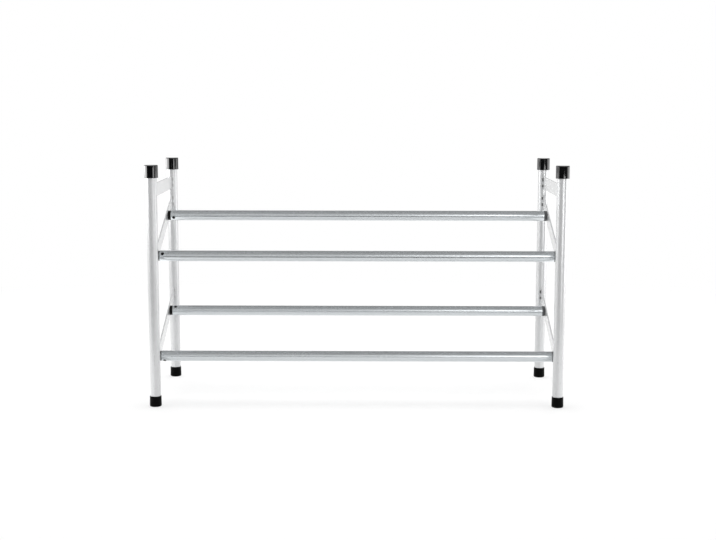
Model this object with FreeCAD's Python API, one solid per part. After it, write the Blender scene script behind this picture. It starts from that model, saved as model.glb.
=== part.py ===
import FreeCAD, Part
import math
import os

# Telescopic shoe rack: two upright end frames joined by four telescoping rails.
# Millimetres.  X runs along the rails, Y to the back, Z up.  The origin is on the
# floor under the middle of the closed rack.

# ---- End frames: posts and flat strips --------------------------------------
post_pitch = 600.0          # between the left and right posts, rack pushed in
post_depth = 206.0          # between the front and rear posts
post_diameter = 16.0
post_wall = 1.2
post_above_strip = 39.0     # from the middle of the top strip to the top of the caps
strip_width = 20.0
strip_thickness = 2.0
strip_edge_radius = 0.5     # along the four long edges of the rolled bar
shelf_slope = 22.5          # degrees, rising to the back
lower_shelf_height = 99.3   # middle of the lower sloping strip, at mid depth
tier_pitch = 152.5          # from the lower shelf to the upper one
top_strip_gap = 9.0         # clear height over the rear end of the upper strip

# ---- Rails ------------------------------------------------------------------
front_rail_inset = 32.0     # from the front post's middle to the front rails
rear_rail_inset = 55.0      # from the rear post's middle to the rear rails
outer_tube_diameter = 16.0
outer_tube_wall = 0.8
inner_tube_wall = 0.7
closing_gap = 0.3           # between the pushed-in collar and the right strip
parking_gap = 3.5           # between the pushed-in bush and the left plug

# ---- Plastic glides ----------------------------------------------------------
glide_wall = 0.75           # fills the gap between outer and inner tube
running_clearance = 0.05    # radial, where one piece slides in another
collar_lip_length = 4.0
collar_sleeve_length = 19.0
collar_slit_length = 12.0
collar_slit_width = 0.8
bush_length = 12.0
bush_lip_length = 1.5
bush_lip_reach = 1.6        # how far the lip covers the end of the inner tube
bush_pad_height = 0.2
bush_pad_width = 3.5
bush_slit_width = 1.2

# ---- Snap plugs ---------------------------------------------------------------
push_clearance = 0.05       # radial, where one piece is pushed onto another
left_shoulder_length = 4.5  # of the plug, between the left strip and the tube
left_shoulder_step = 0.3    # the tube's end seats on this much of the shoulder
right_flange_length = 2.0
spigot_length = 14.0
spigot_wall = 1.2
spigot_chamfer = 0.6
core_wall = 1.2
web_thickness = 1.2
nib_hole_diameter = 4.8
nib_hole_inset = 4.8        # from the end of the tube to the middle of the hole
nib_clearance = 0.1
tongue_slot_width = 0.8

# ---- Screws -------------------------------------------------------------------
screw_diameter = 3.8
screw_length = 16.0
screw_head_diameter = 8.0
screw_head_height = 2.4
screw_head_bevel = 1.2
screw_recess_width = 0.9
screw_recess_span = 4.4
screw_recess_depth = 1.3
strip_hole_clearance = 0.2

# ---- Weld tacks ----------------------------------------------------------------
tack_radius = 1.6
tack_end_radius = 0.7
tack_taper = 1.2            # length of each tapered end
tack_length = 7.5
tack_spacing = 10.0
tack_rise = 0.4             # from the corner to the tack's own axis

# ---- Caps and feet -------------------------------------------------------------
cap_height = 18.8
cap_wall = 2.0
cap_top_thickness = 2.6
cap_edge_radius = 1.2
sleeve_lead_in = 0.4
foot_height = 16.0
foot_floor = 3.0
foot_rim_wall = 0.6
foot_flare = 0.3            # radial, from the rim down to the widest ring
foot_corner_radius = 2.0


# ---- Places worked out from the sizes above ------------------------------------
post_x = post_pitch / 2
post_y = post_depth / 2
post_radius = post_diameter / 2
slope_rise = math.tan(math.radians(shelf_slope))
strip_rise = strip_width / 2 / math.cos(math.radians(shelf_slope))

upper_shelf_height = lower_shelf_height + tier_pitch
shelf_heights = {"upper": upper_shelf_height, "lower": lower_shelf_height}
upper_strip_top = upper_shelf_height + (post_y - post_radius) * slope_rise + strip_rise
top_strip_height = upper_strip_top + top_strip_gap + strip_width / 2
rack_height = top_strip_height + post_above_strip

front_rail_y = front_rail_inset - post_y
rear_rail_y = post_y - rear_rail_inset
strip_face = post_x - strip_thickness / 2

outer_bore = outer_tube_diameter - 2 * outer_tube_wall
glide_outer_radius = outer_bore / 2 - running_clearance
glide_inner_radius = glide_outer_radius - glide_wall
inner_tube_diameter = 2 * (glide_inner_radius - running_clearance)
inner_bore = inner_tube_diameter - 2 * inner_tube_wall

outer_tube_start = left_shoulder_length
outer_tube_length = 2 * strip_face - left_shoulder_length - collar_lip_length - closing_gap
bush_start = left_shoulder_length + spigot_length + parking_gap
inner_tube_length = 2 * strip_face - right_flange_length - bush_start - bush_lip_length

# Each rail's place in Y and Z, and how far its snap hole is turned up from the front.
rail_turns = {"upper_front": 30.0, "upper_rear": -22.0, "lower_front": -52.0, "lower_rear": 56.0}
inner_turn = -90.0


def rail_place(rail):
    """Y and Z of a rail's axis: the rails cross the middle line of the strips."""
    tier, row = rail.split("_")
    y = front_rail_y if row == "front" else rear_rail_y
    return y, shelf_heights[tier] + y * slope_rise


def on_rail(shape, side, rail, turn):
    """Move a shape built along +Z from a strip's inner face to that end of a rail.

    The shape's own +X side is turned up from the front of the rack by 'turn' degrees.
    """
    y, z = rail_place(rail)
    inward = FreeCAD.Vector(1 if side == "left" else -1, 0, 0)
    angle = math.radians(turn)
    facing = FreeCAD.Vector(0, -math.cos(angle), math.sin(angle))
    rotation = FreeCAD.Rotation(facing, inward.cross(facing), inward, "ZXY")
    start = FreeCAD.Vector(-strip_face if side == "left" else strip_face, y, z)
    placed = shape.copy()
    placed.Placement = FreeCAD.Placement(start, rotation).multiply(placed.Placement)
    return placed


def rod(radius, length, start=0.0):
    """Solid cylinder along +Z."""
    return Part.makeCylinder(radius, length, FreeCAD.Vector(0, 0, start))


def ring(outer_radius, inner_radius, length, start=0.0):
    """Plain tube along +Z."""
    return rod(outer_radius, length, start).cut(rod(inner_radius, length, start))


def turned(edges):
    """Solid turned about the Z axis from a closed outline drawn in the XZ plane."""
    face = Part.Face(Part.Wire(edges))
    return face.revolve(FreeCAD.Vector(0, 0, 0), FreeCAD.Vector(0, 0, 1), 360)


def outline(points):
    """Edges of a closed outline; a point given as a pair of points is an arc's middle and end."""
    edges = []
    first = last = FreeCAD.Vector(points[0][0], 0, points[0][1])
    for point in points[1:]:
        if isinstance(point[0], tuple):
            middle = FreeCAD.Vector(point[0][0], 0, point[0][1])
            end = FreeCAD.Vector(point[1][0], 0, point[1][1])
            edges.append(Part.Arc(last, middle, end).toShape())
        else:
            end = FreeCAD.Vector(point[0], 0, point[1])
            edges.append(Part.makeLine(last, end))
        last = end
    edges.append(Part.makeLine(last, first))
    return edges


def corner(x, z, radius, start_angle):
    """Middle and end of a quarter round about (x, z), running anticlockwise from an angle."""
    middle = math.radians(start_angle + 45)
    end = math.radians(start_angle + 90)
    return ((x + radius * math.cos(middle), z + radius * math.sin(middle)),
            (x + radius * math.cos(end), z + radius * math.sin(end)))


# ---- Posts and strips ----------------------------------------------------------
def post_solid(side, row):
    """Full round of a post, also used to cope the strips and the weld tacks."""
    x = -post_x if side == "left" else post_x
    y = -post_y if row == "front" else post_y
    height = rack_height - cap_top_thickness - foot_floor
    return Part.makeCylinder(post_radius, height, FreeCAD.Vector(x, y, foot_floor))


def post(side, row):
    """Open tube that stands in its foot and ends under its cap."""
    solid = post_solid(side, row)
    centre = FreeCAD.Vector(solid.BoundBox.Center.x, solid.BoundBox.Center.y, foot_floor)
    return solid.cut(Part.makeCylinder(post_radius - post_wall, solid.BoundBox.ZLength, centre))


def cope(shape, side):
    """Cut the round of both posts of an end frame out of a shape."""
    return shape.cut(post_solid(side, "front")).cut(post_solid(side, "rear"))


def strip(side, height, slope):
    """Rolled flat bar between the posts, its ends coped to seat on them."""
    length = post_depth / math.cos(math.radians(slope))
    corner_point = FreeCAD.Vector(-strip_thickness / 2, -length / 2, -strip_width / 2)
    bar = Part.makeBox(strip_thickness, length, strip_width, corner_point)
    long_edges = [edge for edge in bar.Edges if math.isclose(edge.Length, length)]
    bar = bar.makeFillet(strip_edge_radius, long_edges)
    bar.rotate(FreeCAD.Vector(0, 0, 0), FreeCAD.Vector(1, 0, 0), slope)
    bar.translate(FreeCAD.Vector(-post_x if side == "left" else post_x, 0, height))
    return cope(bar, side)


def shelf_strip(side, tier):
    """Sloping strip, drilled for the screws of its two rails."""
    bar = strip(side, shelf_heights[tier], shelf_slope)
    hole = rod(screw_diameter / 2 + strip_hole_clearance, strip_thickness, -strip_thickness)
    for row in ("front", "rear"):
        bar = bar.cut(on_rail(hole, side, tier + "_" + row, 0))
    return bar


def weld_tacks(side, strips):
    """Short beads in the inner corners where the strips meet the posts, two to each end."""
    inner_face = -strip_face if side == "left" else strip_face
    towards_middle = 1 if side == "left" else -1
    reach = math.sqrt(post_radius ** 2 - (strip_thickness / 2) ** 2)
    half = tack_length / 2
    bead = turned(outline([
        (0, -half),
        (tack_end_radius, -half),
        (tack_radius, tack_taper - half),
        (tack_radius, half - tack_taper),
        (tack_end_radius, half),
        (0, half)]))
    tacks = []
    for bar, height, rise in strips:
        for y_side in (-1, 1):
            y = y_side * (post_y - reach - tack_rise)
            for step in (-tack_spacing / 2, tack_spacing / 2):
                tack = bead.copy()
                x = inner_face + towards_middle * tack_rise
                tack.translate(FreeCAD.Vector(x, y, height + y * rise + step))
                tacks.append(cope(tack, side).cut(bar))
    return Part.makeCompound(tacks)


# ---- Rails -----------------------------------------------------------------------
def nib_hole(tube_end):
    """Round cutter through one wall of a tube, on its +X side."""
    centre = FreeCAD.Vector(0, 0, tube_end + nib_hole_inset)
    return Part.makeCylinder(nib_hole_diameter / 2, outer_tube_diameter, centre, FreeCAD.Vector(1, 0, 0))


def outer_tube():
    """Wide tube of a rail, from the left plug's shoulder to the mouth collar."""
    tube = ring(outer_tube_diameter / 2, outer_bore / 2, outer_tube_length, outer_tube_start)
    return tube.cut(nib_hole(outer_tube_start))


def inner_tube():
    """Narrow tube of a rail, from the right plug's flange to the glide bush."""
    tube = ring(inner_tube_diameter / 2, inner_bore / 2, inner_tube_length, right_flange_length)
    return tube.cut(nib_hole(right_flange_length))


# ---- Snap plugs --------------------------------------------------------------------
def snap_plug(flange_radius, flange_length, tube_radius, bore_radius):
    """Moulded end plug of a tube.

    A solid flange stands on the strip.  Behind it a hollow spigot fills the tube, with
    a screw core on three webs.  Two slots free a spring tongue that carries the nib.
    """
    spigot_radius = bore_radius - push_clearance
    hollow_radius = spigot_radius - spigot_wall
    core_hole_radius = screw_diameter / 2 + push_clearance
    whole_length = flange_length + spigot_length

    plug = rod(flange_radius, flange_length)
    wall = ring(spigot_radius, hollow_radius, spigot_length - spigot_chamfer, flange_length)
    taper_start = FreeCAD.Vector(0, 0, whole_length - spigot_chamfer)
    taper = Part.makeCone(spigot_radius, spigot_radius - spigot_chamfer, spigot_chamfer, taper_start)
    taper = taper.cut(rod(hollow_radius, spigot_chamfer, taper_start.z))
    plug = plug.fuse([wall, taper, rod(core_hole_radius + core_wall, spigot_length, flange_length)])

    web_length = hollow_radius + spigot_wall / 2
    web_corner = FreeCAD.Vector(0, -web_thickness / 2, flange_length)
    web = Part.makeBox(web_length, web_thickness, spigot_length - spigot_chamfer, web_corner)
    for angle in (60, 180, 300):
        turned_web = web.copy()
        turned_web.rotate(FreeCAD.Vector(0, 0, 0), FreeCAD.Vector(0, 0, 1), angle)
        plug = plug.fuse(turned_web)
    plug = plug.cut(rod(core_hole_radius, whole_length))

    nib_radius = nib_hole_diameter / 2 - nib_clearance
    slot_depth = spigot_radius - math.sqrt(hollow_radius ** 2 - nib_hole_diameter ** 2 / 4)
    slot_start = spigot_radius - slot_depth - spigot_wall / 2
    slot_length = spigot_length - nib_clearance
    for y in (-nib_hole_diameter / 2 - tongue_slot_width, nib_hole_diameter / 2):
        slot_corner = FreeCAD.Vector(slot_start, y, flange_length + nib_clearance)
        slot = Part.makeBox(spigot_radius, tongue_slot_width, slot_length, slot_corner)
        plug = plug.cut(slot)

    nib_middle = FreeCAD.Vector(hollow_radius + spigot_wall / 2, 0, flange_length + nib_hole_inset)
    nib = Part.makeCylinder(nib_radius, tube_radius, nib_middle, FreeCAD.Vector(1, 0, 0))
    nib = nib.common(rod(tube_radius - nib_clearance, whole_length))
    return plug.fuse(nib).removeSplitter()


def left_plug():
    """Plug of an outer tube: its shoulder shows between the strip and the tube."""
    shoulder_radius = outer_bore / 2 + left_shoulder_step
    return snap_plug(shoulder_radius, left_shoulder_length, outer_tube_diameter / 2, outer_bore / 2)


def right_plug():
    """Plug of an inner tube: its flange is no wider than the tube, so the collar passes it."""
    tube_radius = inner_tube_diameter / 2
    return snap_plug(tube_radius, right_flange_length, tube_radius, inner_bore / 2)


# ---- Glides --------------------------------------------------------------------------
def mouth_collar():
    """Collar in the mouth of an outer tube; its sleeve is slit so that it grips evenly."""
    lip_edge = outer_tube_diameter / 2
    lip_end = closing_gap + collar_lip_length
    sleeve_end = lip_end + collar_sleeve_length
    sleeve_radius = outer_bore / 2 - push_clearance
    bevel = glide_wall / 2
    collar = turned(outline([
        (glide_inner_radius + bevel, closing_gap),
        (lip_edge - bevel, closing_gap),
        (lip_edge, closing_gap + bevel),
        (lip_edge, lip_end),
        (sleeve_radius, lip_end),
        (sleeve_radius, sleeve_end),
        (glide_inner_radius, sleeve_end),
        (glide_inner_radius, closing_gap + bevel)]))
    slit_corner = FreeCAD.Vector(0, -collar_slit_width / 2, sleeve_end - collar_slit_length)
    slit = Part.makeBox(outer_bore, collar_slit_width, collar_slit_length, slit_corner)
    for angle in (0, 120, 240):
        turned_slit = slit.copy()
        turned_slit.rotate(FreeCAD.Vector(0, 0, 0), FreeCAD.Vector(0, 0, 1), angle)
        collar = collar.cut(turned_slit)
    return collar


def glide_bush():
    """Split bush on the far end of an inner tube, with four pads that run in the outer tube."""
    end = 2 * strip_face - bush_start
    start = end - bush_length
    pad_radius = glide_outer_radius
    skirt_radius = pad_radius - bush_pad_height
    bush = ring(skirt_radius, inner_tube_diameter / 2 + push_clearance, bush_length, start)
    lip_radius = inner_tube_diameter / 2 - bush_lip_reach
    bush = bush.fuse(ring(skirt_radius, lip_radius, bush_lip_length, end - bush_lip_length))
    pads = ring(pad_radius, skirt_radius - bush_pad_height, bush_length, start)
    pad_span = Part.makeBox(2 * outer_bore, bush_pad_width, bush_length,
                            FreeCAD.Vector(-outer_bore, -bush_pad_width / 2, start))
    crossed = pad_span.copy()
    crossed.rotate(FreeCAD.Vector(0, 0, 0), FreeCAD.Vector(0, 0, 1), 90)
    bush = bush.fuse([pads.common(pad_span), pads.common(crossed)])
    slit = Part.makeBox(outer_bore, bush_slit_width, bush_length,
                        FreeCAD.Vector(0, -bush_slit_width / 2, start))
    slit.rotate(FreeCAD.Vector(0, 0, 0), FreeCAD.Vector(0, 0, 1), 45)
    return bush.cut(slit).removeSplitter()


# ---- Screws ---------------------------------------------------------------------------
def screw():
    """Pan-head screw, driven from outside the frame through the strip into the plug."""
    seat = -strip_thickness
    head_radius = screw_head_diameter / 2
    head_top = seat - screw_head_height
    body = turned(outline([
        (0, seat + screw_length),
        (0, head_top),
        (head_radius - screw_head_bevel, head_top),
        (head_radius, head_top + screw_head_bevel),
        (head_radius, seat),
        (screw_diameter / 2, seat),
        (screw_diameter / 2, seat + screw_length - screw_diameter / 2)]))
    for size in ((screw_recess_span, screw_recess_width), (screw_recess_width, screw_recess_span)):
        recess_corner = FreeCAD.Vector(-size[0] / 2, -size[1] / 2, head_top)
        body = body.cut(Part.makeBox(size[0], size[1], screw_recess_depth, recess_corner))
    return body


# ---- Caps and feet ----------------------------------------------------------------------
def cap():
    """Cap over the top of a post, flat on top and rounded at its edge."""
    bore_radius = post_radius + push_clearance
    outer_radius = bore_radius + cap_wall
    top = rack_height
    bottom = top - cap_height
    edge = outer_radius - cap_edge_radius
    return turned(outline([
        (0, top - cap_top_thickness),
        (bore_radius, top - cap_top_thickness),
        (bore_radius, bottom + sleeve_lead_in),
        (bore_radius + sleeve_lead_in, bottom),
        (outer_radius, bottom),
        (outer_radius, top - cap_edge_radius),
        corner(edge, top - cap_edge_radius, cap_edge_radius, 0),
        (0, top)]))


def foot():
    """Foot under a post: a thin-rimmed socket that widens to a rounded tread."""
    bore_radius = post_radius + push_clearance
    rim_radius = bore_radius + foot_rim_wall
    widest = rim_radius + foot_flare
    tread = widest - foot_corner_radius
    return turned(outline([
        (0, 0),
        (tread, 0),
        corner(tread, foot_corner_radius, foot_corner_radius, -90),
        (rim_radius, foot_height),
        (bore_radius, foot_height),
        (bore_radius, foot_floor),
        (0, foot_floor)]))


# ---- The whole rack -----------------------------------------------------------------------
def end_frame(side):
    """Posts, strips, weld tacks, caps and feet of one end."""
    top_strip = strip(side, top_strip_height, 0)
    upper_strip = shelf_strip(side, "upper")
    lower_strip = shelf_strip(side, "lower")
    nodes = {
        side + "_top_strip": top_strip,
        side + "_upper_shelf_strip": upper_strip,
        side + "_lower_shelf_strip": lower_strip,
        side + "_weld_tacks": weld_tacks(side, [(top_strip, top_strip_height, 0),
                                                (upper_strip, upper_shelf_height, slope_rise),
                                                (lower_strip, lower_shelf_height, slope_rise)])}
    for row in ("front", "rear"):
        corner_name = side + "_" + row
        x = -post_x if side == "left" else post_x
        y = -post_y if row == "front" else post_y
        nodes[corner_name + "_post"] = post(side, row)
        for name, shape in (("_cap", cap()), ("_foot", foot())):
            shape.translate(FreeCAD.Vector(x, y, 0))
            nodes[corner_name + name] = shape
    return nodes


def rails():
    """Tubes, plugs and glides of the four rails, and the screws that hold them."""
    nodes = {}
    screws = {"left": [], "right": []}
    for rail, turn in rail_turns.items():
        nodes["outer_tube_" + rail] = on_rail(outer_tube(), "left", rail, turn)
        nodes["left_plug_" + rail] = on_rail(left_plug(), "left", rail, turn)
        nodes["mouth_collar_" + rail] = on_rail(mouth_collar(), "right", rail, turn)
        nodes["inner_tube_" + rail] = on_rail(inner_tube(), "right", rail, inner_turn)
        nodes["right_plug_" + rail] = on_rail(right_plug(), "right", rail, inner_turn)
        nodes["glide_bush_" + rail] = on_rail(glide_bush(), "right", rail, inner_turn)
        for side in screws:
            screws[side].append(on_rail(screw(), side, rail, turn))
    for side, group in screws.items():
        nodes[side + "_screws"] = Part.makeCompound(group)
    return nodes


os.makedirs("parts", exist_ok=True)
pieces = {**end_frame("left"), **end_frame("right"), **rails()}
for node, shape in pieces.items():
    shape.exportStep(os.path.join("parts", node + ".step"))

travel = 2 * strip_face - closing_gap - collar_lip_length - collar_sleeve_length
travel = travel - bush_start - bush_length
print("pieces:", len(pieces), " height:", round(rack_height, 3), " stop to stop:", round(travel, 3))
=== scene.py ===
import math
import bpy
import bmesh
from mathutils import Matrix, Vector


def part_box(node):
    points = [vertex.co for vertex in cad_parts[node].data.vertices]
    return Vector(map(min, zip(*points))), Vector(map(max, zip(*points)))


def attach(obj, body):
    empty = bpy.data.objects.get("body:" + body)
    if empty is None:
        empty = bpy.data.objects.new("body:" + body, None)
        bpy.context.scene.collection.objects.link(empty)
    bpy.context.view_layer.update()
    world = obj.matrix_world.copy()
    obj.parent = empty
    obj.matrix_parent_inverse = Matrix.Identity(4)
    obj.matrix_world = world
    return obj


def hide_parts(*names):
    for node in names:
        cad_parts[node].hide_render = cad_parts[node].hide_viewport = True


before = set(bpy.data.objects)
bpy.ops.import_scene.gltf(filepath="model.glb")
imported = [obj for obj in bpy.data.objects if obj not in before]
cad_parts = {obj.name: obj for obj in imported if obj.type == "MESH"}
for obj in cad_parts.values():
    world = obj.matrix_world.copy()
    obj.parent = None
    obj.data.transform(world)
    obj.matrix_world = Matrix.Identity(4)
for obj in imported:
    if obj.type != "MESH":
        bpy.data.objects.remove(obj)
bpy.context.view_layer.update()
scene = bpy.context.scene
scene.view_settings.view_transform = "Standard"


# ---- The room it stands in -----------------------------------------------------------
# A white table top that fades into a white backdrop, seen from a little above the rack
# and two metres in front of it.  The table's front edge lies just below the view.
MM = 0.001
WHITE = (1, 1, 1, 1)
CAMERA_PLACE = Vector((0.0131, -1.9777, 0.4691))
CAMERA_TURN = math.radians(-0.337)      # about the vertical, positive to the right
CAMERA_TILT = math.radians(7.989)       # downwards
CAMERA_ROLL = math.radians(0.08)
FOCAL_LENGTH = 64.64                    # for a 36 mm wide picture
VIEW_REACH = 50
BACKDROP_LIGHT = 1.0                    # what is seen of it
FILL_LIGHT = 0.62                       # what it gives to the rack
TABLE_FRONT = -0.72
TABLE_REACH = 6.0
TABLE_COLOUR = (0.40, 0.40, 0.40, 1)
TABLE_GLOW = 0.605                      # on top of the light that falls on it
TABLE_BOUNCE = (0.8, 0.8, 0.8, 1)       # what it throws back at the rack
FADE_FROM = 0.70                        # distances from the rack's middle
FADE_TO = 1.15
FADE_STRETCH = (0.65, 1, 1)             # reaches further to the sides
ONE_FACE = [(0, 1, 2, 3)]

aim = Vector((math.sin(CAMERA_TURN) * math.cos(CAMERA_TILT),
              math.cos(CAMERA_TURN) * math.cos(CAMERA_TILT),
              -math.sin(CAMERA_TILT)))
level = Vector((math.cos(CAMERA_TURN), -math.sin(CAMERA_TURN), 0))
upright = level.cross(aim)
right = math.cos(CAMERA_ROLL) * level + math.sin(CAMERA_ROLL) * upright
up = math.cos(CAMERA_ROLL) * upright - math.sin(CAMERA_ROLL) * level
turn = Matrix((right, up, -aim)).transposed().to_4x4()
camera = bpy.data.objects.new("camera", bpy.data.cameras.new("camera"))
camera.data.lens = FOCAL_LENGTH
camera.data.clip_end = VIEW_REACH
camera.matrix_world = Matrix.Translation(CAMERA_PLACE) @ turn
scene.collection.objects.link(camera)
scene.camera = camera


def feed(node, inputs):
    """Sets a node's inputs to values, or links them to the outputs of other nodes."""
    for key, value in inputs.items():
        if isinstance(value, bpy.types.NodeSocket):
            node.id_data.links.new(value, node.inputs[key])
        else:
            node.inputs[key].default_value = value


def put(tree, kind, inputs=None, **settings):
    """One node, with its settings and its inputs."""
    node = tree.nodes.new(kind)
    for key, value in settings.items():
        setattr(node, key, value)
    feed(node, inputs or {})
    return node


def calculate(tree, operation, *values):
    """The result of one operation on numbers or on the outputs of other nodes."""
    return put(tree, "ShaderNodeMath", dict(enumerate(values)), operation=operation).outputs[0]


def seen_directly(tree):
    """1 where a ray comes from the camera, a mirror-like surface or glass."""
    path = put(tree, "ShaderNodeLightPath").outputs
    either = calculate(tree, "MAXIMUM", path["Is Camera Ray"], path["Is Glossy Ray"])
    return calculate(tree, "MAXIMUM", either, path["Is Transmission Ray"])


def white_light(tree, kind, strength):
    """White light of a surface or of the room, as a shader."""
    return put(tree, kind, {"Color": WHITE, "Strength": strength}).outputs[0]


def empty_material(name):
    """New material and its tree, with nothing in it."""
    material = bpy.data.materials.new(name)
    material.use_nodes = True
    material.node_tree.nodes.clear()
    return material, material.node_tree


def add_stage(name, points, faces, material):
    """A part of the room, which doesn't belong to the rack."""
    mesh = bpy.data.meshes.new(name)
    mesh.from_pydata(points, [], faces)
    mesh.materials.append(material)
    thing = bpy.data.objects.new(name, mesh)
    scene.collection.objects.link(thing)
    return thing


world = bpy.data.worlds.new("room")
scene.world = world
world.use_nodes = True
tree = world.node_tree
tree.nodes.clear()
backdrop = white_light(tree, "ShaderNodeBackground", BACKDROP_LIGHT)
fill = white_light(tree, "ShaderNodeBackground", FILL_LIGHT)
mixed = put(tree, "ShaderNodeMixShader", {0: seen_directly(tree), 1: fill, 2: backdrop})
put(tree, "ShaderNodeOutputWorld", {"Surface": mixed.outputs[0]})

table_white, tree = empty_material("table_white")
glow = white_light(tree, "ShaderNodeEmission", TABLE_GLOW)
matt = put(tree, "ShaderNodeBsdfDiffuse", {"Color": TABLE_COLOUR})
near = put(tree, "ShaderNodeAddShader", {0: glow, 1: matt.outputs[0]})
far = white_light(tree, "ShaderNodeEmission", BACKDROP_LIGHT)
place = put(tree, "ShaderNodeTexCoord").outputs["Object"]
stretched = put(tree, "ShaderNodeMapping", {"Vector": place, "Scale": FADE_STRETCH})
distance = put(tree, "ShaderNodeVectorMath", {0: stretched.outputs[0]}, operation="LENGTH")
fade = put(tree, "ShaderNodeMapRange", {"Value": distance.outputs["Value"],
                                        "From Min": FADE_FROM, "From Max": FADE_TO})
shown = put(tree, "ShaderNodeMixShader", {0: fade.outputs[0], 1: near.outputs[0], 2: far})
bounce = put(tree, "ShaderNodeBsdfDiffuse", {"Color": TABLE_BOUNCE})
mixed = put(tree, "ShaderNodeMixShader",
            {0: seen_directly(tree), 1: bounce.outputs[0], 2: shown.outputs[0]})
put(tree, "ShaderNodeOutputMaterial", {"Surface": mixed.outputs[0]})
add_stage("table", [(-TABLE_REACH, TABLE_FRONT, 0), (TABLE_REACH, TABLE_FRONT, 0),
                    (TABLE_REACH, TABLE_REACH, 0), (-TABLE_REACH, TABLE_REACH, 0)],
          ONE_FACE, table_white)

# Panels round the rack that only its gloss shows, each with its strength as the last
# figure.  The far ones are patches of a large ball, from one bearing to another (0 is
# straight in front, minus to the left) and from one elevation to another, in degrees:
# dark cloths, pale floor, walls and ceiling, and the main softbox with its soft edge.
PANEL_RADIUS = 5.0
PANEL_STEPS = 12
FAR_PANELS = [("floor_front", -64, 64, -40, -22, 0.30),
              ("cloth_front", -64, 64, -22, -8, 0.0),
              ("wall_front_foot", -64, 64, -8, -1.2, 0.60),
              ("cloth_gap", -64, 64, -1.2, 1.6, 0.02),
              ("wall_front", -64, 3, 1.6, 36, 0.70),
              ("softbox_far_edge", 3, 5, 1.6, 31, 1.0),
              ("softbox_near_edge", 5, 8, 1.6, 31, 1.7),
              ("softbox_main", 8, 24, 4, 31, 2.6),
              ("wall_front_right", 24, 64, 1.6, 36, 0.70),
              ("wall_front_top", 3, 24, 31, 36, 0.70),
              ("ceiling_front_edge", -64, 64, 36, 72, 0.42),
              ("ceiling_front", -64, 64, 72, 90, 0.27),
              ("side_right", 64, 110, 4, 90, 0.45),
              ("side_left", -110, -64, 4, 90, 0.45),
              ("wall_back", 110, 250, 9, 30, 0.60),
              ("cloth_back_upper", 110, 250, 30, 90, 0.25)]
# The near ones are upright: two ends in plan, the lower and the upper edge, in metres.
LEFT_FRONT = (-1.00, -0.45)
LEFT_BACK = (-1.00, 0.75)
NEAR_PANELS = [("softbox_right", (0.50, -1.146), (0.92, -0.900), 0.12, 0.280, 5.9),
               ("softbox_left_top", LEFT_FRONT, LEFT_BACK, 0.330, 1.0, 3.4),
               ("softbox_left", LEFT_FRONT, LEFT_BACK, 0.289, 0.330, 9.0),
               ("softbox_left_edge", LEFT_FRONT, LEFT_BACK, 0.23, 0.289, 3.6),
               ("wall_left_upper", LEFT_FRONT, LEFT_BACK, 0.14, 0.23, 1.2),
               ("wall_left", LEFT_FRONT, LEFT_BACK, 0.0, 0.14, 1.0),
               ("wall_far_right", (1.35, -0.30), (1.35, 0.80), 0.0, 0.42, 3.4)]
# The flat ones lie on the table: two opposite corners in plan, in metres.  The first
# dims the gloss of the table's edge, the other two brighten it beside the rack.
FLAT_HEIGHT = 2 * MM
FLAT_PANELS = [("table_edge", (-1.5, TABLE_FRONT), (1.5, -0.48), 0.30),
               ("table_beside_left", (-0.90, -0.48), (-0.32, 0.30), 1.6),
               ("table_beside_right", (0.32, -0.48), (0.90, 0.30), 1.4)]


def add_panel(name, points, faces, strength):
    """A surface that gives light and shows only to mirror-like rays."""
    panel_light, tree = empty_material(name)
    light = white_light(tree, "ShaderNodeEmission", strength)
    put(tree, "ShaderNodeOutputMaterial", {"Surface": light})
    panel = add_stage(name, points, faces, panel_light)
    panel.visible_camera = False
    panel.visible_diffuse = False
    panel.visible_shadow = False
    panel.visible_transmission = False


for name, bearing_from, bearing_to, low, high, strength in FAR_PANELS:
    points = []
    for i in range(PANEL_STEPS + 1):
        bearing = math.radians(bearing_from + (bearing_to - bearing_from) * i / PANEL_STEPS)
        for j in range(PANEL_STEPS + 1):
            elevation = math.radians(low + (high - low) * j / PANEL_STEPS)
            points.append((PANEL_RADIUS * math.sin(bearing) * math.cos(elevation),
                           -PANEL_RADIUS * math.cos(bearing) * math.cos(elevation),
                           PANEL_RADIUS * math.sin(elevation)))
    column = PANEL_STEPS + 1
    starts = [i * column + j for i in range(PANEL_STEPS) for j in range(PANEL_STEPS)]
    faces = [(p, p + column, p + column + 1, p + 1) for p in starts]
    add_panel(name, points, faces, strength)
for name, start, end, low, high, strength in NEAR_PANELS:
    points = [(*start, low), (*end, low), (*end, high), (*start, high)]
    add_panel(name, points, ONE_FACE, strength)
for name, (west, front), (east, back), strength in FLAT_PANELS:
    points = [(west, front, FLAT_HEIGHT), (east, front, FLAT_HEIGHT),
              (east, back, FLAT_HEIGHT), (west, back, FLAT_HEIGHT)]
    add_panel(name, points, ONE_FACE, strength)

# A large softbox overhead throws the soft shadows; the gloss doesn't show it.
LAMP_WIDTH = 2.4
LAMP_DEPTH = 1.6
LAMP_POWER = 34
LAMP_PLACE = (0, 0.5, 2.2)
LAMP_TILT = math.radians(-12)           # towards the front
overhead = bpy.data.objects.new("overhead_softbox",
                                bpy.data.lights.new("overhead_softbox", "AREA"))
overhead.data.shape = "RECTANGLE"
overhead.data.size = LAMP_WIDTH
overhead.data.size_y = LAMP_DEPTH
overhead.data.energy = LAMP_POWER
overhead.location = LAMP_PLACE
overhead.rotation_euler = (LAMP_TILT, 0, 0)
overhead.visible_glossy = False
scene.collection.objects.link(overhead)


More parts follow.
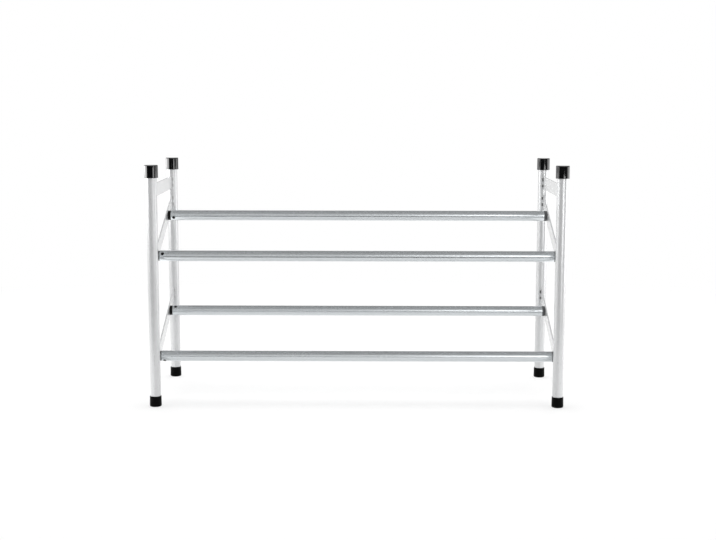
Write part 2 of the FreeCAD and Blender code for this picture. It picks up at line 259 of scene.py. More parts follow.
# ---- Posts ---------------------------------------------------------------------------
# Four straight lengths of 16 mm steel tube, sawn square, deburred and painted silver
# before the caps and feet go on.  A frame's two posts are one weldment.
SIDES = {"left": "left_frame", "right": "right_frame"}
ROWS = ("front", "rear")
POST_WALL = 1.2 * MM
POST_EDGE = 0.2 * MM
POST_SEGMENTS = 96
ARC_STEPS = 4
FLAT_HOLD = 0.12 * MM                   # from an arc's end to the point beside it
ON_AXIS = 1e-7
SHARP_BEND = math.radians(40)
NOISE_LOW = 0.3                         # most of a noise lies between these two
NOISE_HIGH = 0.7
SILVER = (0.70, 0.706, 0.712, 1)
FLAKES = 3600.0                         # to the metre
PAINT_GRAIN = 1.2 * MM
PAINT_CLOUDS = 50 * MM
PAINT_TINTS = (0.96, 1.05)              # the darkest and the lightest, to its own colour
GRAIN_SPREAD = 0.04                     # of the roughness, up and down
FLAKE_SPREAD = 0.03
PEEL_STRENGTH = 0.02
PEEL_DEPTH = 0.02 * MM


def speckle(tree, size, detail=2.0, stretch=(1, 1, 1)):
    """Noise of a size in metres, on the piece's own place, drawn out along its axes."""
    place = put(tree, "ShaderNodeTexCoord").outputs["Object"]
    mapped = put(tree, "ShaderNodeMapping", {"Vector": place, "Scale": stretch})
    noise = {"Vector": mapped.outputs[0], "Scale": 1 / size, "Detail": detail}
    return put(tree, "ShaderNodeTexNoise", noise).outputs["Fac"]


def between(tree, value, low, high):
    """A noise value spread from one number to another."""
    spread = {"Value": value, "From Min": NOISE_LOW, "From Max": NOISE_HIGH,
              "To Min": low, "To Max": high}
    return put(tree, "ShaderNodeMapRange", spread).outputs["Result"]


def shade(tree, value, dark, light):
    """A value as a colour between two colours, which are inputs 6 and 7 of the mix."""
    return put(tree, "ShaderNodeMix", {0: value, 6: dark, 7: light}, data_type="RGBA").outputs[2]


def tinted(tree, value, colour, tints):
    """A value as a colour from the darkest to the lightest of its tints."""
    dark, light = [tuple(min(1.0, part * tint) for part in colour[:3]) + (1,) for tint in tints]
    return shade(tree, value, dark, light)


def relief(tree, height, strength, depth):
    """The surface's direction where fine relief of a depth in metres turns it."""
    return put(tree, "ShaderNodeBump",
               {"Height": height, "Strength": strength, "Distance": depth}).outputs[0]


def finish(name):
    """New material, its tree and its shader."""
    material = bpy.data.materials.new(name)
    material.use_nodes = True
    return material, material.node_tree, material.node_tree.nodes["Principled BSDF"]


def silver_paint(name, colour, metal, rough, coat_index, coat_rough, grain_stretch):
    """Satin silver paint: metal flakes in a clear glossy binder, with a slight orange peel."""
    material, tree, shader = finish(name)
    place = put(tree, "ShaderNodeTexCoord").outputs["Object"]
    flakes = put(tree, "ShaderNodeTexVoronoi", {"Vector": place, "Scale": FLAKES})
    flake = put(tree, "ShaderNodeSeparateColor", {"Color": flakes.outputs["Color"]}).outputs[0]
    streaks = speckle(tree, PAINT_GRAIN, 3.0, grain_stretch)
    clouds = speckle(tree, PAINT_CLOUDS)
    by_grain = between(tree, streaks, rough - GRAIN_SPREAD, rough + GRAIN_SPREAD)
    by_flake = between(tree, flake, -FLAKE_SPREAD, FLAKE_SPREAD)
    peel = relief(tree, speckle(tree, PAINT_GRAIN, 1.0), PEEL_STRENGTH, PEEL_DEPTH)
    feed(shader, {
        "Base Color": tinted(tree, calculate(tree, "MULTIPLY", flake, clouds), colour, PAINT_TINTS),
        "Metallic": metal, "Roughness": calculate(tree, "ADD", by_grain, by_flake), "Normal": peel,
        "Coat Weight": 1.0, "Coat IOR": coat_index, "Coat Roughness": coat_rough,
        "Coat Normal": peel})
    return material


frame_paint = silver_paint("frame_paint", SILVER, metal=0.35, rough=0.33, coat_index=1.5,
                           coat_rough=0.20, grain_stretch=(1, 1, 0.08))


def rounded(corners, steps=ARC_STEPS):
    """Closed outline through (radius, height, round) corners, with an arc at each and a
    point just beside it, so that the flats stay flat in the light."""
    outline = []
    for i, (r, z, fillet) in enumerate(corners):
        here = Vector((r, z))
        if fillet <= 0:
            outline.append(here)
            continue
        before = Vector(corners[i - 1][:2]) - here
        after = Vector(corners[(i + 1) % len(corners)][:2]) - here
        half = before.angle(after) / 2
        reach = fillet / math.tan(half)
        halfway = (before.normalized() + after.normalized()).normalized()
        middle = here + halfway * (fillet / math.sin(half))
        first = here + before.normalized() * reach
        last = here + after.normalized() * reach
        sweep = (first - middle).angle(last - middle)
        if before.length > reach + 2 * FLAT_HOLD:
            outline.append(first + before.normalized() * FLAT_HOLD)
        for k in range(steps + 1):
            share = k / steps
            outline.append(middle + ((first - middle) * math.sin((1 - share) * sweep)
                                     + (last - middle) * math.sin(share * sweep)) / math.sin(sweep))
        if after.length > reach + 2 * FLAT_HOLD:
            outline.append(last + after.normalized() * FLAT_HOLD)
    return outline


def turned(name, outline, segments):
    """Closed mesh turned about Z from a closed outline of (radius, height) points."""
    shape = bmesh.new()
    angles = [2 * math.pi * k / segments for k in range(segments)]
    rings = []
    for r, z in outline:
        if r < ON_AXIS:
            rings.append([shape.verts.new((0, 0, z))] * segments)
        else:
            rings.append([shape.verts.new((r * math.cos(angle), r * math.sin(angle), z))
                          for angle in angles])
    for ring, following in zip(rings, rings[1:] + rings[:1]):
        for k in range(segments):
            beside = (k + 1) % segments
            corners = (ring[k], ring[beside], following[beside], following[k])
            different = list(dict.fromkeys(corners))
            if len(different) > 2:
                shape.faces.new(different)
    bmesh.ops.recalc_face_normals(shape, faces=shape.faces)
    for face in shape.faces:
        face.smooth = True
    for edge in shape.edges:
        edge.smooth = len(edge.link_faces) != 2 or edge.calc_face_angle() < SHARP_BEND
    mesh = bpy.data.meshes.new(name)
    shape.to_mesh(mesh)
    shape.free()
    return mesh


def new_tree(name, inputs):
    """Empty Geometry Nodes tree with named inputs; gives the tree and its input sockets."""
    tree = bpy.data.node_groups.new(name, "GeometryNodeTree")
    for label, kind in [("Geometry", "NodeSocketGeometry")] + inputs:
        tree.interface.new_socket(label, in_out="INPUT", socket_type=kind)
    tree.interface.new_socket("Geometry", in_out="OUTPUT", socket_type="NodeSocketGeometry")
    return tree, tree.nodes.new("NodeGroupInput").outputs


def close_tree(tree, geometry, material):
    """Real geometry and its material as the tree's result."""
    whole = put(tree, "GeometryNodeRealizeInstances", {"Geometry": geometry})
    painted = put(tree, "GeometryNodeSetMaterial",
                  {"Geometry": whole.outputs[0], "Material": material})
    put(tree, "NodeGroupOutput", {0: painted.outputs[0]})


def made_by(tree, mesh, values):
    """The plain mesh that a tree makes from a mesh and its named inputs."""
    holder = bpy.data.objects.new("holder", mesh)
    scene.collection.objects.link(holder)
    modifier = holder.modifiers.new("shape", "NODES")
    modifier.node_group = tree
    for socket in tree.interface.items_tree:
        if socket.in_out == "INPUT" and socket.name in values:
            modifier[socket.identifier] = values[socket.name]
    bpy.context.view_layer.update()
    evaluated = holder.evaluated_get(bpy.context.evaluated_depsgraph_get())
    plain = bpy.data.meshes.new_from_object(evaluated)
    bpy.data.objects.remove(holder)
    return plain


def grown(name, mesh, tree, values):
    """Object with the plain mesh that a tree makes."""
    piece = bpy.data.objects.new(name, made_by(tree, mesh, values))
    scene.collection.objects.link(piece)
    return piece


def belongs(piece, body, nodes):
    """The body a piece moves with, and the solids it stands for, which are hidden."""
    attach(piece, body)
    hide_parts(*nodes)


# Copies of one piece in rows and tiers, each turned about its own Z by chance.
copies, given = new_tree("rows_and_tiers", [
    ("Start", "NodeSocketVector"), ("Rotation", "NodeSocketVector"),
    ("Rows", "NodeSocketInt"), ("Row Step", "NodeSocketVector"),
    ("Tiers", "NodeSocketInt"), ("Tier Step", "NodeSocketVector"),
    ("Turn Spread", "NodeSocketFloat"), ("Seed", "NodeSocketInt"),
    ("Material", "NodeSocketMaterial")])
row = put(copies, "GeometryNodeMeshLine", {"Count": given["Rows"], "Start Location": given["Start"],
                                           "Offset": given["Row Step"]})
tier = put(copies, "GeometryNodeMeshLine", {"Count": given["Tiers"], "Offset": given["Tier Step"]})
places = put(copies, "GeometryNodeInstanceOnPoints", {"Points": tier.outputs[0],
                                                      "Instance": row.outputs[0]})
points = put(copies, "GeometryNodeRealizeInstances", {"Geometry": places.outputs[0]})
placed = put(copies, "GeometryNodeInstanceOnPoints", {"Points": points.outputs[0],
                                                      "Instance": given["Geometry"],
                                                      "Rotation": given["Rotation"]})
chance = put(copies, "FunctionNodeRandomValue", {"Max": given["Turn Spread"], "Seed": given["Seed"]})
own_turn = put(copies, "ShaderNodeCombineXYZ", {"Z": chance.outputs["Value"]})
spun = put(copies, "GeometryNodeRotateInstances", {"Instances": placed.outputs[0],
                                                   "Rotation": own_turn.outputs[0]})
close_tree(copies, spun.outputs[0], given["Material"])


def front_and_rear(name, blank, material, side, kind):
    """A frame's two pieces of one kind, upright where their two solids stand."""
    nodes = [f"{side}_{row_name}_{kind}" for row_name in ROWS]
    low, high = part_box(nodes[0])
    rear_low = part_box(nodes[1])[0]
    pair = grown(name, blank, copies, {
        "Start": ((low.x + high.x) / 2, (low.y + high.y) / 2, low.z),
        "Rows": 2, "Row Step": (0, rear_low.y - low.y, 0), "Tiers": 1, "Material": material})
    belongs(pair, SIDES[side], nodes)


for side in SIDES:
    low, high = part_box(f"{side}_front_post")
    post_outside = (high.x - low.x) / 2
    post_inside = post_outside - POST_WALL
    post_length = high.z - low.z
    post_outline = rounded([(post_outside, 0, POST_EDGE), (post_outside, post_length, POST_EDGE),
                            (post_inside, post_length, POST_EDGE), (post_inside, 0, POST_EDGE)])
    front_and_rear(f"{side}_posts", turned("post", post_outline, POST_SEGMENTS), frame_paint,
                   side, "post")


# ---- Strips --------------------------------------------------------------------------
# Flat steel bar, 20 by 2 mm with rolled edges, coped to sit on the posts: one level bar
# near the top of each frame and two that slope down to the front and carry the rails.
STRIPS = ("top_strip", "upper_shelf_strip", "lower_shelf_strip")


def coloured(node, material):
    """A solid that is shown as it is, in a material of its own."""
    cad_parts[node].material_slots[0].material = material


for side in SIDES:
    for strip in STRIPS:
        coloured(f"{side}_{strip}", frame_paint)


# ---- Weld beads ----------------------------------------------------------------------
# Two short tacks of weld in each inner corner between a strip and a post, left as they
# cooled and painted over, so their ripples still show and the paint is thin on them.
# Their darker middles are weld scale and painted shade of the corner; on the right
# frame, where they are near black, they are mostly painted shade.
INWARD = {"left": 1, "right": -1}
SHELF_SLOPE = math.radians(22.5)
BEAD_LENGTH = 7.6 * MM
BEAD_RADIUS = 1.55 * MM
BEAD_PITCH = 10 * MM
BEAD_FROM_EDGE = 0.35 * MM              # in from the strip's front and rear edges
BEAD_FROM_FACE = 0.4 * MM               # out from its inner face
BEAD_RIPPLES = 6.0
BEAD_RINGS = 41
BEAD_SEGMENTS = 16
RIPPLE_DEPTH = 0.16
TAPER_POWER = 4.0
MERGE_REACH = 0.01 * MM
LUMPS = 700.0                           # to the metre
LUMP_HEIGHT = 0.3 * MM
BEAD_LEAN = 0.12
FULL_TURN = 6.28
BEAD_SMALLEST = (0.92, 0.92, 0.85)
BEAD_LARGEST = (1.12, 1.12, 1.08)
BEAD_SEED = 7
# Where the darker middle of a bead lies, which is weld scale and painted shade together.
BURNT_SHADE_MIDDLE = 0.45                     # along a bead, from 0 to 1
BURNT_SHADE_REACH = 0.55
BURNT_SHADE_FADE = 0.08
BURNT_SHADE_RAGGED = 0.5
# Two tints for the darker middles on each frame; the right frame's near-black pair is painted shade of
# the corner more than weld scale.
BURNT_SHADE_TINTS = {"left": [(0.42, 0.42, 0.42, 1), (0.60, 0.60, 0.60, 1)],
               "right": [(0.03, 0.03, 0.03, 1), (0.14, 0.14, 0.14, 1)]}

beads, given = new_tree("weld_beads", [
    ("Bead Length", "NodeSocketFloat"), ("Bead Radius", "NodeSocketFloat"),
    ("Ripples", "NodeSocketFloat"), ("Seed", "NodeSocketInt"), ("Material", "NodeSocketMaterial")])
upper_half = calculate(beads, "MULTIPLY", given["Bead Length"], 0.5)
lower_half = calculate(beads, "MULTIPLY", given["Bead Length"], -0.5)
top_end = put(beads, "ShaderNodeCombineXYZ", {"Z": upper_half})
low_end = put(beads, "ShaderNodeCombineXYZ", {"Z": lower_half})
line = put(beads, "GeometryNodeCurvePrimitiveLine", {"Start": low_end.outputs[0],
                                                     "End": top_end.outputs[0]})
path = put(beads, "GeometryNodeResampleCurve", {"Curve": line.outputs[0], "Count": BEAD_RINGS})
along = put(beads, "GeometryNodeSplineParameter").outputs["Factor"]
wave = calculate(beads, "MULTIPLY", along, given["Ripples"])
ripple = calculate(beads, "SINE", calculate(beads, "MULTIPLY", wave, math.pi))
crest = calculate(beads, "ABSOLUTE", ripple)
swell = calculate(beads, "MULTIPLY_ADD", crest, RIPPLE_DEPTH, 1 - RIPPLE_DEPTH)
off_middle = calculate(beads, "MULTIPLY_ADD", along, 2.0, -1.0)
taper = calculate(beads, "SUBTRACT", 1.0, calculate(beads, "POWER", off_middle, TAPER_POWER))
thickness = calculate(beads, "MULTIPLY", swell, calculate(beads, "POWER", taper, 0.5))
radius = calculate(beads, "MULTIPLY", thickness, given["Bead Radius"])
profile = put(beads, "GeometryNodeCurvePrimitiveCircle", {"Resolution": BEAD_SEGMENTS, "Radius": 1.0})
marked = put(beads, "GeometryNodeStoreNamedAttribute",
             {"Geometry": path.outputs[0], "Name": "bead_along", "Value": along})
skin = put(beads, "GeometryNodeCurveToMesh",
           {"Curve": marked.outputs[0], "Profile Curve": profile.outputs[0], "Scale": radius,
            "Fill Caps": True})
shut = put(beads, "GeometryNodeMergeByDistance", {"Geometry": skin.outputs[0],
                                                  "Distance": MERGE_REACH})
lumps = put(beads, "ShaderNodeTexNoise", {"Scale": LUMPS, "Detail": 1.0})
centred = put(beads, "ShaderNodeVectorMath", {0: lumps.outputs["Color"], 1: (0.5, 0.5, 0.5)},
              operation="SUBTRACT")
shift = put(beads, "ShaderNodeVectorMath", {0: centred.outputs[0], "Scale": LUMP_HEIGHT},
            operation="SCALE")
uneven = put(beads, "GeometryNodeSetPosition", {"Geometry": shut.outputs[0],
                                                "Offset": shift.outputs[0]})
smooth = put(beads, "GeometryNodeSetShadeSmooth", {"Geometry": uneven.outputs[0],
                                                   "Shade Smooth": True})
turns = put(beads, "FunctionNodeRandomValue",
            {"Min": (-BEAD_LEAN, -BEAD_LEAN, 0.0), "Max": (BEAD_LEAN, BEAD_LEAN, FULL_TURN),
             "Seed": given["Seed"]}, data_type="FLOAT_VECTOR")
sizes = put(beads, "FunctionNodeRandomValue",
            {"Min": BEAD_SMALLEST, "Max": BEAD_LARGEST, "Seed": given["Seed"]},
            data_type="FLOAT_VECTOR")
tacks = put(beads, "GeometryNodeInstanceOnPoints",
            {"Points": given["Geometry"], "Instance": smooth.outputs[0],
             "Rotation": turns.outputs["Value"], "Scale": sizes.outputs["Value"]})
close_tree(beads, tacks.outputs[0], given["Material"])


def weld_paint(name, burnt_shade_dark, burnt_shade_light):
    """Paint over a weld bead, whole at its two ends; along its middle a darker colour that stands for
    weld scale and for painted shade of the corner.
    """
    material, tree, shader = finish(name)
    along = put(tree, "ShaderNodeAttribute", attribute_name="bead_along").outputs["Fac"]
    crust = speckle(tree, 1.1 * MM)
    away = calculate(tree, "ABSOLUTE", calculate(tree, "SUBTRACT", along, BURNT_SHADE_MIDDLE))
    ragged = calculate(tree, "MULTIPLY_ADD", crust, BURNT_SHADE_RAGGED, away)
    whole = put(tree, "ShaderNodeMapRange", {"Value": ragged, "From Min": BURNT_SHADE_REACH,
                                             "From Max": BURNT_SHADE_REACH + BURNT_SHADE_FADE})
    dark_mottle = between(tree, speckle(tree, 0.8 * MM, detail=3.0), 0.0, 1.0)
    # A darker colour along each bead's middle: weld scale with painted shade of the corner.
    burnt_and_shade = shade(tree, dark_mottle, burnt_shade_dark, burnt_shade_light)
    pits = speckle(tree, 0.4 * MM)
    feed(shader, {"Base Color": shade(tree, whole.outputs["Result"], burnt_and_shade, SILVER),
                  "Metallic": 0.5, "Roughness": between(tree, crust, low=0.5, high=0.3),
                  "Normal": relief(tree, pits, strength=0.15, depth=0.06 * MM),
                  "Coat Weight": 1.0, "Coat Roughness": 0.12})
    return material


for side, body in SIDES.items():
    seams = []
    for strip in STRIPS:
        low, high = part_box(f"{side}_{strip}")
        slope = SHELF_SLOPE if "shelf" in strip else 0
        inner_face = high.x if side == "left" else low.x
        x = inner_face + INWARD[side] * BEAD_FROM_FACE
        for end in (-1, 1):
            y = end * (high.y - BEAD_FROM_EDGE)
            z = (low.z + high.z) / 2 + y * math.tan(slope)
            seams += [(x, y, z - BEAD_PITCH / 2), (x, y, z + BEAD_PITCH / 2)]
    corners = bpy.data.meshes.new("weld_corners")
    corners.from_pydata(seams, [], [])
    welds = grown(f"{side}_weld_beads", corners, beads, {
        "Bead Length": BEAD_LENGTH, "Bead Radius": BEAD_RADIUS, "Ripples": BEAD_RIPPLES,
        "Seed": BEAD_SEED, "Material": weld_paint(f"weld_paint_{side}", *BURNT_SHADE_TINTS[side])})
    belongs(welds, body, [f"{side}_weld_tacks"])


# ---- Rails: outer tubes --------------------------------------------------------------
# Thin-walled steel tube, 16 mm, painted a shade darker than the frame.  Near its left end
# each has a drilled hole that the plug's nib snaps into, turned a different way on each.
RAIL_SILVER = (0.61, 0.642, 0.662, 1)
RAIL_TURNS = {"upper_front": 30, "upper_rear": -22, "lower_front": -52, "lower_rear": 56}
OUTER_WALL = 0.8 * MM
TUBE_EDGE = 0.15 * MM
TUBE_SEGMENTS = 128
HOLE_WIDTH = 4.8 * MM
HOLE_INSET = 4.8 * MM
HOLE_SEGMENTS = 64
RING_STEP = 0.5 * MM
RINGS_EACH_WAY = 6


def cut_out(tree, body, tool):
    """A body less a tool, shaded smooth but for its sharp edges."""
    cut = put(tree, "GeometryNodeMeshBoolean", {"Mesh 1": body, "Mesh 2": tool.outputs[0]},
              operation="DIFFERENCE", solver="EXACT")
    bend = put(tree, "GeometryNodeInputMeshEdgeAngle").outputs["Unsigned Angle"]
    sharp = calculate(tree, "GREATER_THAN", bend, SHARP_BEND)
    smooth = put(tree, "GeometryNodeSetShadeSmooth",
                 {"Geometry": cut.outputs[0], "Shade Smooth": True})
    return put(tree, "GeometryNodeSetShadeSmooth",
               {"Geometry": smooth.outputs[0], "Selection": sharp, "Shade Smooth": False},
               domain="EDGE").outputs[0]


drilled, given = new_tree("drilled_tube", [
    ("Hole Width", "NodeSocketFloat"), ("Hole Inset", "NodeSocketFloat"),
    ("Reach", "NodeSocketFloat"), ("Rotation", "NodeSocketVector"),
    ("Place", "NodeSocketVector"), ("Material", "NodeSocketMaterial")])
hole_radius = calculate(drilled, "MULTIPLY", given["Hole Width"], 0.5)
half_reach = calculate(drilled, "MULTIPLY", given["Reach"], 0.5)
drill = put(drilled, "GeometryNodeMeshCylinder", {"Vertices": HOLE_SEGMENTS, "Radius": hole_radius,
                                                  "Depth": given["Reach"]})
hole_place = put(drilled, "ShaderNodeCombineXYZ", {"X": half_reach, "Z": given["Hole Inset"]})
aimed = put(drilled, "GeometryNodeTransform", {"Geometry": drill.outputs[0],
                                               "Rotation": (0, math.pi / 2, 0),
                                               "Translation": hole_place.outputs[0]})
set_up = put(drilled, "GeometryNodeTransform",
             {"Geometry": cut_out(drilled, given["Geometry"], aimed),
              "Rotation": given["Rotation"], "Translation": given["Place"]})
close_tree(drilled, set_up.outputs[0], given["Material"])


def rail_turn(side, degrees):
    """Rotation that lays a piece built along Z on a rail, its X side up from the front."""
    angle = math.radians(degrees)
    inward = Vector((INWARD[side], 0, 0))
    facing = Vector((0, -math.cos(angle), math.sin(angle)))
    return Matrix((facing, inward.cross(facing), inward)).transposed().to_euler()


def tube_outline(radius, wall, length):
    """Section of a deburred tube, with rings close together round the snap hole."""
    bore = radius - wall
    corners = rounded([(radius, 0, TUBE_EDGE), (radius, length, TUBE_EDGE),
                       (bore, length, TUBE_EDGE), (bore, 0, TUBE_EDGE)])
    rings = [HOLE_INSET + step * RING_STEP for step in range(-RINGS_EACH_WAY, RINGS_EACH_WAY + 1)]
    lower = [i for i, corner in enumerate(corners) if corner.y < length / 2]
    last_outer = max(i for i in lower if corners[i].x > radius - wall / 2)
    first_inner = min(i for i in lower if corners[i].x < radius - wall / 2)
    outside = corners[:last_outer + 1] + [Vector((radius, z)) for z in rings]
    inside = [Vector((bore, z)) for z in reversed(rings)] + corners[first_inner:]
    return outside + corners[last_outer + 1:first_inner] + inside


def rail_tube(node, wall, turn, paint, side):
    """A drilled tube in place of its solid, with the hole at the end next to one frame."""
    low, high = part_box(node)
    radius = (high.z - low.z) / 2
    blank = turned("tube", tube_outline(radius, wall, high.x - low.x), TUBE_SEGMENTS)
    end = low.x if side == "left" else high.x
    tube = grown(f"{node}_painted", blank, drilled, {
        "Hole Width": HOLE_WIDTH, "Hole Inset": HOLE_INSET, "Reach": 2 * radius,
        "Rotation": rail_turn(side, turn),
        "Place": (end, (low.y + high.y) / 2, (low.z + high.z) / 2), "Material": paint})
    belongs(tube, SIDES[side], [node])


rail_paint = silver_paint("rail_paint", RAIL_SILVER, metal=0.80, rough=0.24, coat_index=1.8,
                          coat_rough=0.10, grain_stretch=(0.02, 1, 1))
for rail, turn in RAIL_TURNS.items():
    rail_tube(f"outer_tube_{rail}", OUTER_WALL, turn, rail_paint, "left")


# ---- Rails: inner tubes --------------------------------------------------------------
# Steel tube in thin bright silver paint, a close fit inside the outer one, which shows when
# the rack is pulled out.  The sliding polishes it and leaves fine lines along its length.
INNER_SILVER = (0.58, 0.59, 0.60, 1)
INNER_TINTS = (0.88, 1.06)
INNER_WALL = 0.7 * MM
INNER_TURN = -90
inner_paint, tree, shader = finish("inner_tube_paint")
lines = speckle(tree, 0.4 * MM, detail=3.0, stretch=(0.01, 1, 1))
clouds = speckle(tree, 30 * MM, detail=3.0, stretch=(0.4, 1, 1))
feed(shader, {"Base Color": tinted(tree, clouds, INNER_SILVER, INNER_TINTS),
              "Metallic": 1.0, "Roughness": between(tree, lines, low=0.18, high=0.30),
              "Normal": relief(tree, lines, strength=0.12, depth=0.04 * MM)})
for rail in RAIL_TURNS:
    rail_tube(f"inner_tube_{rail}", INNER_WALL, INNER_TURN, inner_paint,
              "right")


# ---- Snap plugs ----------------------------------------------------------------------
# Black nylon plugs between the strips and the tube ends, moulded in one with the nib that
# locks in the tube's hole.  The screw from outside the frame runs into their core.
PLASTIC_TINTS = (0.7, 1.5)
HANDLED_SIZE = 6 * MM
SKIN_DEPTH = 0.06 * MM


def black_plastic(name, colour, rough, grain, strength, reflection=0.5):
    """Moulded black plastic, its gloss a little uneven where it has been handled."""
    material, tree, shader = finish(name)
    handled = speckle(tree, HANDLED_SIZE, detail=3.0)
    feed(shader, {"Base Color": tinted(tree, handled, colour, PLASTIC_TINTS),
                  "Roughness": between(tree, handled, *rough),
                  "Specular IOR Level": reflection,
                  "Normal": relief(tree, speckle(tree, grain), strength, SKIN_DEPTH)})
    return material


plug_black = black_plastic("plug_black", (0.004, 0.004, 0.004, 1), rough=(0.32, 0.44),
                           grain=0.8 * MM, strength=0.15, reflection=0.15)
for side in SIDES:
    for rail in RAIL_TURNS:
        coloured(f"{side}_plug_{rail}", plug_black)


# ---- Mouth collars -------------------------------------------------------------------
# Dark grey acetal collars pushed into the right end of each outer tube; the inner tube
# runs in them.  Only the lip shows, four millimetres of it against the right strip.
COLLAR_GREY = (0.085, 0.087, 0.092, 1)
COLLAR_TINTS = (0.85, 1.15)
collar_grey, tree, shader = finish("collar_grey")
mottle = speckle(tree, 2 * MM, detail=3.0)
pores = speckle(tree, 0.5 * MM)
feed(shader, {"Base Color": tinted(tree, mottle, COLLAR_GREY, COLLAR_TINTS),
              "Roughness": between(tree, mottle, low=0.32, high=0.46),
              "Normal": relief(tree, pores, strength=0.15, depth=0.05 * MM)})
for rail in RAIL_TURNS:
    coloured(f"mouth_collar_{rail}", collar_grey)


# ---- Glide bushes --------------------------------------------------------------------
# Split bushes of the same acetal, pushed over the far ends of the inner tubes, with four
# raised pads that bear on the inside of the outer tubes.
for rail in RAIL_TURNS:
    coloured(f"glide_bush_{rail}", collar_grey)


# ---- Screws --------------------------------------------------------------------------
# Zinc-plated pan-head screws with a cross recess, driven from outside each frame through
# the sloping strips into the plugs, one to each end of each rail.
ZINC = (0.66, 0.67, 0.68, 1)
ZINC_TINTS = (0.8, 1.1)
HEAD_RADIUS = 4 * MM
HEAD_HEIGHT = 2.4 * MM
CROWN_SHARE = 0.62                      # of the head's radius
CROWN_ROUND = 1.6 * MM
RIM_SHARE = 0.42                        # of its height
RIM_ROUND = 0.9 * MM
SHANK_RADIUS = 1.9 * MM
SCREW_LENGTH = 16 * MM
SCREW_EDGE = 0.15 * MM
TIP_ROUND = 0.3 * MM
SCREW_SEGMENTS = 48
SCREW_SEED = 3
RECESS_WIDTH = 0.9 * MM
RECESS_SPAN = 4.4 * MM
RECESS_DEPTH = 1.3 * MM

zinc, tree, shader = finish("screw_zinc_plating")
bloom = speckle(tree, 1.5 * MM, detail=4.0)
crystals = speckle(tree, 0.3 * MM, detail=3.0)
feed(shader, {"Base Color": tinted(tree, bloom, ZINC, ZINC_TINTS),
              "Metallic": 1.0, "Roughness": between(tree, bloom, low=0.24, high=0.40),
              "Normal": relief(tree, crystals, strength=0.2, depth=0.03 * MM)})

driven, given = new_tree("cross_recess", [
    ("Width", "NodeSocketFloat"), ("Span", "NodeSocketFloat"), ("Depth", "NodeSocketFloat"),
    ("Head Height", "NodeSocketFloat"), ("Material", "NodeSocketMaterial")])
both_ways = calculate(driven, "MULTIPLY", given["Depth"], 2.0)
slot_size = put(driven, "ShaderNodeCombineXYZ", {"X": given["Span"], "Y": given["Width"],
                                                 "Z": both_ways})
head_top = calculate(driven, "MULTIPLY", given["Head Height"], -1.0)
slot_place = put(driven, "ShaderNodeCombineXYZ", {"Z": head_top})
slot_tool = put(driven, "GeometryNodeMeshCube", {"Size": slot_size.outputs[0]})
sunk = put(driven, "GeometryNodeTransform", {"Geometry": slot_tool.outputs[0],
                                             "Translation": slot_place.outputs[0]})
across = put(driven, "GeometryNodeTransform", {"Geometry": sunk.outputs[0],
                                               "Rotation": (0, 0, math.pi / 2)})
once = cut_out(driven, given["Geometry"], sunk)
close_tree(driven, cut_out(driven, once, across), given["Material"])

screw_outline = rounded([
    (0, SCREW_LENGTH, 0), (0, -HEAD_HEIGHT, 0), (HEAD_RADIUS * CROWN_SHARE, -HEAD_HEIGHT, CROWN_ROUND),
    (HEAD_RADIUS, -HEAD_HEIGHT * RIM_SHARE, RIM_ROUND), (HEAD_RADIUS, 0, SCREW_EDGE),
    (SHANK_RADIUS, 0, SCREW_EDGE), (SHANK_RADIUS, SCREW_LENGTH - 2 * SHANK_RADIUS, TIP_ROUND)])
screw = made_by(driven, turned("screw", screw_outline, SCREW_SEGMENTS), {
    "Width": RECESS_WIDTH, "Span": RECESS_SPAN, "Depth": RECESS_DEPTH,
    "Head Height": HEAD_HEIGHT, "Material": zinc})
front_low, front_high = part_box("outer_tube_lower_front")
rear_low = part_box("outer_tube_lower_rear")[0]
upper_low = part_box("outer_tube_upper_front")[0]
for side, body in SIDES.items():
    low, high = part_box(f"{side}_screws")
    seat = (low.x + HEAD_HEIGHT) if side == "left" else (high.x - HEAD_HEIGHT)
    screws = grown(f"{side}_pan_screws", screw, copies, {
        "Start": (seat, (front_low.y + front_high.y) / 2, (front_low.z + front_high.z) / 2),
        "Rotation": rail_turn(side, 0), "Rows": 2,
        "Row Step": (0, rear_low.y - front_low.y, rear_low.z - front_low.z),
        "Tiers": 2, "Tier Step": (0, 0, upper_low.z - front_low.z),
        "Turn Spread": FULL_TURN, "Seed": SCREW_SEED, "Material": zinc})
    belongs(screws, body, [f"{side}_screws"])


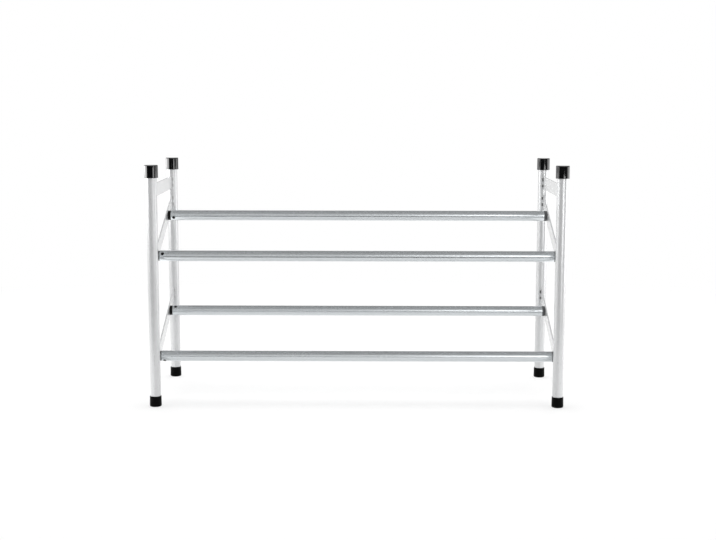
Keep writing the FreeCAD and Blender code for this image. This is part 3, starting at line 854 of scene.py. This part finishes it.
# ---- Caps ----------------------------------------------------------------------------
# Glossy black plastic caps pushed over the tops of the posts, flat on top, their edge
# rounded over, with a two millimetre wall and a small lead-in at the mouth.
BORE = 8.05 * MM
BORE_EDGE = 0.2 * MM
CAP_ROOF = 2.6 * MM
CAP_ROUND = 1.2 * MM
MOUTH_ROUND = 0.3 * MM
LEAD_IN_WIDTH = 0.4 * MM
LEAD_IN_DEPTH = 0.5 * MM
LEAD_IN_EDGE = 0.15 * MM
MOULDED_SEGMENTS = 96
MOULDED_STEPS = 6
cap_black = black_plastic("cap_black", (0.004, 0.004, 0.0045, 1), rough=(0.03, 0.06),
                          grain=1.1 * MM, strength=0.03)
for side in SIDES:
    low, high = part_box(f"{side}_front_cap")
    cap_radius = (high.x - low.x) / 2
    cap_height = high.z - low.z
    cap_outline = rounded([
        (0, cap_height, 0), (cap_radius, cap_height, CAP_ROUND), (cap_radius, 0, MOUTH_ROUND),
        (BORE + LEAD_IN_WIDTH, 0, LEAD_IN_EDGE), (BORE, LEAD_IN_DEPTH, BORE_EDGE),
        (BORE, cap_height - CAP_ROOF, BORE_EDGE), (0, cap_height - CAP_ROOF, 0)],
        steps=MOULDED_STEPS)
    front_and_rear(f"{side}_caps", turned("cap", cap_outline, MOULDED_SEGMENTS), cap_black,
                   side, "cap")


# ---- Feet ----------------------------------------------------------------------------
# Softer black plastic feet that the posts stand in: a thin rim at the top, a slight flare
# to the bottom and a well rounded lower edge.
FOOT_FLOOR = 3 * MM
FOOT_ROUND = 2 * MM
FOOT_FLARE = 0.3 * MM
RIM_EDGE = 0.25 * MM
foot_black = black_plastic("foot_black", (0.001, 0.001, 0.001, 1), rough=(0.30, 0.42),
                           grain=0.7 * MM, strength=0.20, reflection=0.05)
for side in SIDES:
    low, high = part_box(f"{side}_front_foot")
    foot_radius = (high.x - low.x) / 2
    foot_height = high.z - low.z
    foot_outline = rounded([
        (0, FOOT_FLOOR, 0), (0, 0, 0), (foot_radius, 0, FOOT_ROUND),
        (foot_radius - FOOT_FLARE, foot_height, RIM_EDGE), (BORE, foot_height, BORE_EDGE),
        (BORE, FOOT_FLOOR, BORE_EDGE)], steps=MOULDED_STEPS)
    front_and_rear(f"{side}_feet", turned("foot", foot_outline, MOULDED_SEGMENTS), foot_black,
                   side, "foot")
